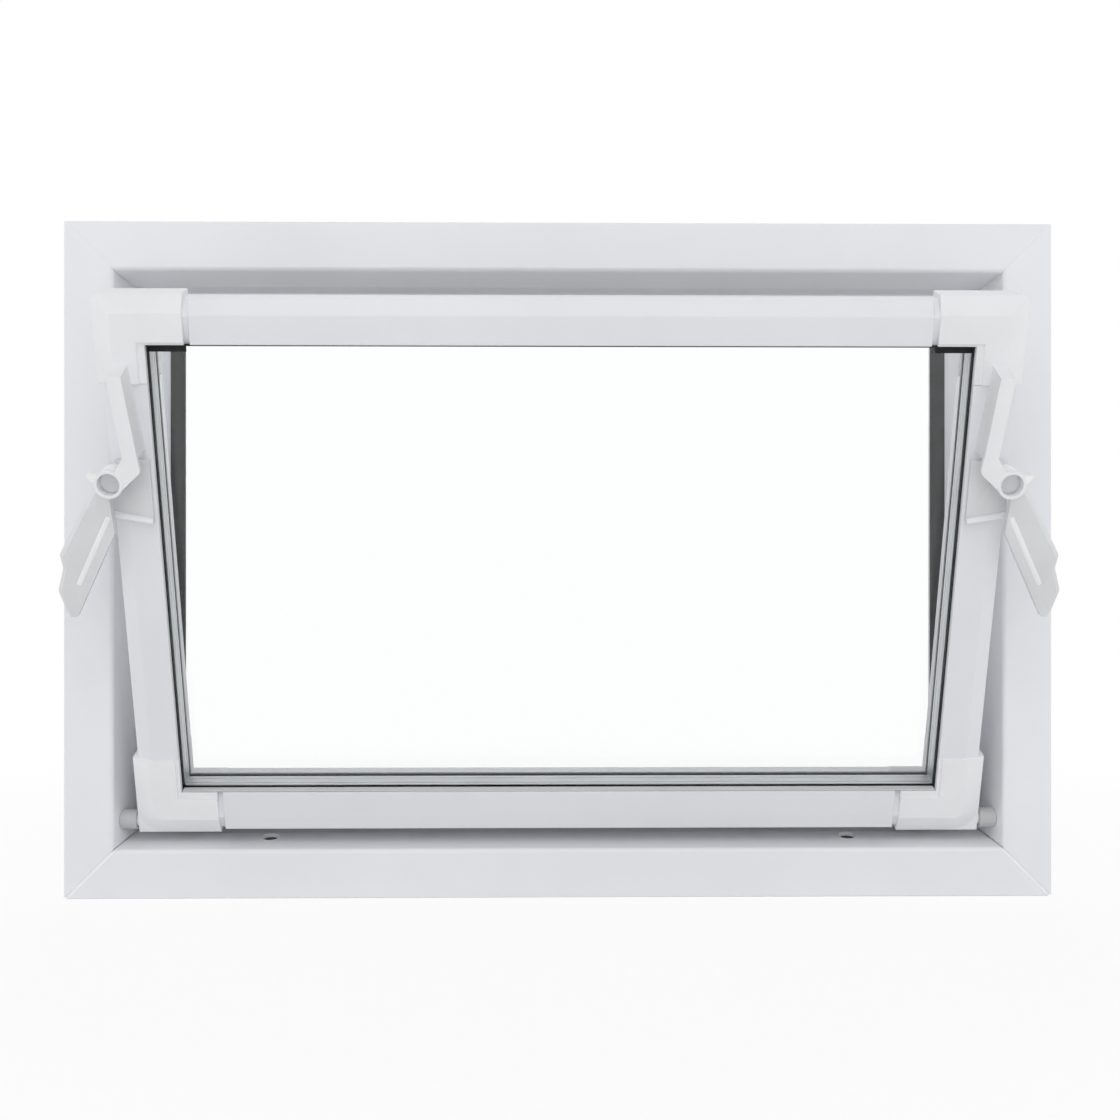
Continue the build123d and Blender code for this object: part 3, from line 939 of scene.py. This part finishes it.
# Sash bars
sash_nodes = {
    "bottom": "sash_rail_bottom",
    "top": "sash_rail_top",
    "left": "sash_stile_left",
    "right": "sash_stile_right",
}
for side, node in sash_nodes.items():
    low, high = sash_plane.box(node)
    half_run = (high - low)[1 if side in UPRIGHT else 0] / 2
    bevel_depth = bottom_bevel_depth if side == "bottom" else bar_bevel_depth
    mesh = square_bar(f"extruded_{node}", side, half_run, bevel_depth, side not in UPRIGHT)
    # The sash bars' darker PVC is painted shade
    bar_piece(f"extruded_{node}", mesh, sash_pvc_painted_shade, "sash", node)

# Strips round the glass
pane_low, pane_high = sash_plane.box("inner_pane")
pane_half = (pane_high - pane_low)[:2] / 2
for side in SIDES:
    lip_front = lip_fronts[side]
    lip = ((lip_front, lip_low, 0.2), (lip_front, lip_high, 0.25))
    strips = {"inner_gasket": inner_gasket_body + lip, "outer_gasket": outer_gasket_section}
    for strip, section in strips.items():
        node = f"{strip}_{side}"
        mesh = mitred_bar(f"strip_{node}", sash_plane, side, pane_half, section)
        bar_piece(f"strip_{node}", mesh, epdm, "sash", node)
    node = f"glass_spacer_{side}"
    mesh = mitred_bar(f"rolled_{node}", sash_plane, side, pane_half, spacer_section())
    bar_piece(f"rolled_{node}", mesh, aluminium, "sash", node)

# The trim's grey is painted shade
trim_mesh = mitred_bar("gasket_trim", sash_plane, "bottom", pane_half, trim_section)
new_piece("gasket_trim", trim_mesh, trim_pvc_painted_shade, "sash", [])
for side, sign in SIGNS.items():
    tab_mesh = corner_tab(f"gasket_tab_{side}", sign)
    new_piece(f"gasket_tab_{side}", tab_mesh, epdm, "sash", [])

# Glass
for node in ("inner_pane", "outer_pane"):
    pane = frame["nodes"][node]
    pane.data.materials.clear()
    pane.data.materials.append(glass)

# Moulded pieces
for side in UPRIGHT:
    for level in ("bottom", "top"):
        node = f"corner_moulding_{level}_{side}"
        soft_piece(node, moulded_edge, corner_plastic, "sash")
    soft_piece(f"hinge_bearing_{side}", moulded_edge, grey_nylon, "frame")
    # The base plates, levers and hub floors carry the darker plastic, which is painted shade
    soft_piece(f"lever_base_{side}", moulded_edge, lever_plastic_painted_shade, "sash")
    soft_piece(f"stay_bar_{side}", moulded_edge, corner_plastic, "sash")
    # The near white on top of each lever's hub is a painted highlight
    soft_piece(f"lever_{side}", lever_edge, lever_plastic_painted_shade_and_highlight, f"{side}_lever")
    # The inserts' whiter plastic is a painted highlight
    insert_mesh = slot_insert(f"slot_insert_{side}", side)
    new_piece(f"slot_insert_{side}", insert_mesh, insert_plastic_painted_highlight, f"{side}_lever", [])
    floor_mesh = hub_floor(f"hub_floor_{side}", side)
    new_piece(f"hub_floor_{side}", floor_mesh, lever_plastic_painted_shade, f"{side}_lever", [])
    bead_mesh = rim_bead(f"rim_bead_{side}", side)
    new_piece(f"rim_bead_{side}", bead_mesh, corner_plastic, "sash", [])


# Studio


def seen_rays(tree):
    """1 for the rays that show the background: from the camera, in reflections and through glass."""
    path = add_node(tree, "LightPath")
    shown = path.outputs["Is Camera Ray"]
    for kind in ("Is Glossy Ray", "Is Transmission Ray"):
        shown = add_node(tree, "Math", {0: shown, 1: path.outputs[kind]}, operation="MAXIMUM").outputs[0]
    return shown


def studio_floor():
    """A wide plain pale floor that stays near white to the camera and keeps a soft shadow."""
    material, tree = new_material("pale_floor")
    shader = add_node(tree, "BsdfDiffuse", {"Color": linear("#fafafa")})
    glow = add_node(tree, "Emission", {"Color": linear("#ffffff"), "Strength": 1.0})
    # The floor glows a little less near the object, so that the shadow stays, and blends into the
    # background further off
    place = add_node(tree, "TexCoord").outputs["Object"]
    away = add_node(tree, "VectorMath", {0: place}, operation="LENGTH")
    near = add_node(
        tree,
        "MapRange",
        {
            "Value": away.outputs["Value"],
            "From Min": floor_fade[0] * MM,
            "From Max": floor_fade[1] * MM,
            "To Min": floor_near_glow,
            "To Max": 1.0,
        },
    )
    share = add_node(tree, "Math", {0: seen_rays(tree), 1: near.outputs[0]}, operation="MULTIPLY")
    mix = add_node(tree, "MixShader", {0: share.outputs[0], 1: shader.outputs[0], 2: glow.outputs[0]})
    add_node(tree, "OutputMaterial", {"Surface": mix.outputs[0]})
    reach = floor_reach * MM
    level = frame_low[2] - floor_gap * MM
    corners = [(x * reach, y * reach, level) for x, y in ((-1, -1), (1, -1), (1, 1), (-1, 1))]
    mesh = bpy.data.meshes.new("studio_floor")
    mesh.from_pydata(corners, [], [(0, 1, 2, 3)])
    mesh.materials.append(material)
    floor = linked("studio_floor", mesh)


def studio_world():
    """White to the camera, in reflections and through glass, and an even ambient light for the rest."""
    world = bpy.data.worlds.new("studio_world")
    world.use_nodes = True
    tree = world.node_tree
    tree.nodes.clear()
    white = linear("#ffffff")
    soft = add_node(tree, "Background", {"Color": white, "Strength": ambient_strength})
    full = add_node(tree, "Background", {"Color": white, "Strength": 1.0})
    mix = add_node(tree, "MixShader", {0: seen_rays(tree), 1: soft.outputs[0], 2: full.outputs[0]})
    add_node(tree, "OutputWorld", {"Surface": mix.outputs[0]})
    bpy.context.scene.world = world


def aim(seer, place, target):
    """Put a lamp or camera at a place in metres and turn it to a target."""
    seer.location = place
    seer.rotation_euler = (Vector(target) - Vector(place)).to_track_quat("-Z", "Y").to_euler()


def softbox(name, place, size, power):
    """A square lamp aimed at the frame's middle, in metres and watts, hidden from camera and glass."""
    lamp = bpy.data.lights.new(name, "AREA")
    lamp.shape = "SQUARE"
    lamp.size = size
    lamp.energy = power
    lamp_object = linked(name, lamp)
    aim(lamp_object, place, frame_middle)
    lamp_object.visible_camera = False
    lamp_object.visible_transmission = False


def studio_camera():
    """The photo's camera: in front of the room face's middle, turned a little so that the left is nearer."""
    camera = bpy.data.cameras.new("photo_camera")
    camera.sensor_width = sensor_width
    camera.lens = sensor_width * focal_pixels / photo_pixels
    yaw = math.radians(camera_yaw)
    place = frame_middle - camera_distance * MM * vector(math.sin(yaw), math.cos(yaw), 0)
    camera_object = linked("photo_camera", camera)
    aim(camera_object, place, frame_middle)
    bpy.context.scene.camera = camera_object


studio_floor()
studio_world()
softbox("front", (0.0, -2.0, 1.05), 2.0, 12.0)
softbox("key_above", (0.0, -1.3, 1.8), 0.6, 2.6)
softbox("side_left", (-1.9, -0.3, 0.7), 1.0, 5.0)
softbox("side_right", (1.9, -0.3, 0.7), 1.0, 5.0)
softbox("back_wall", (0.0, 1.9, 1.2), 1.8, 14.0)
studio_camera()
bpy.context.scene.view_settings.view_transform = "Standard"
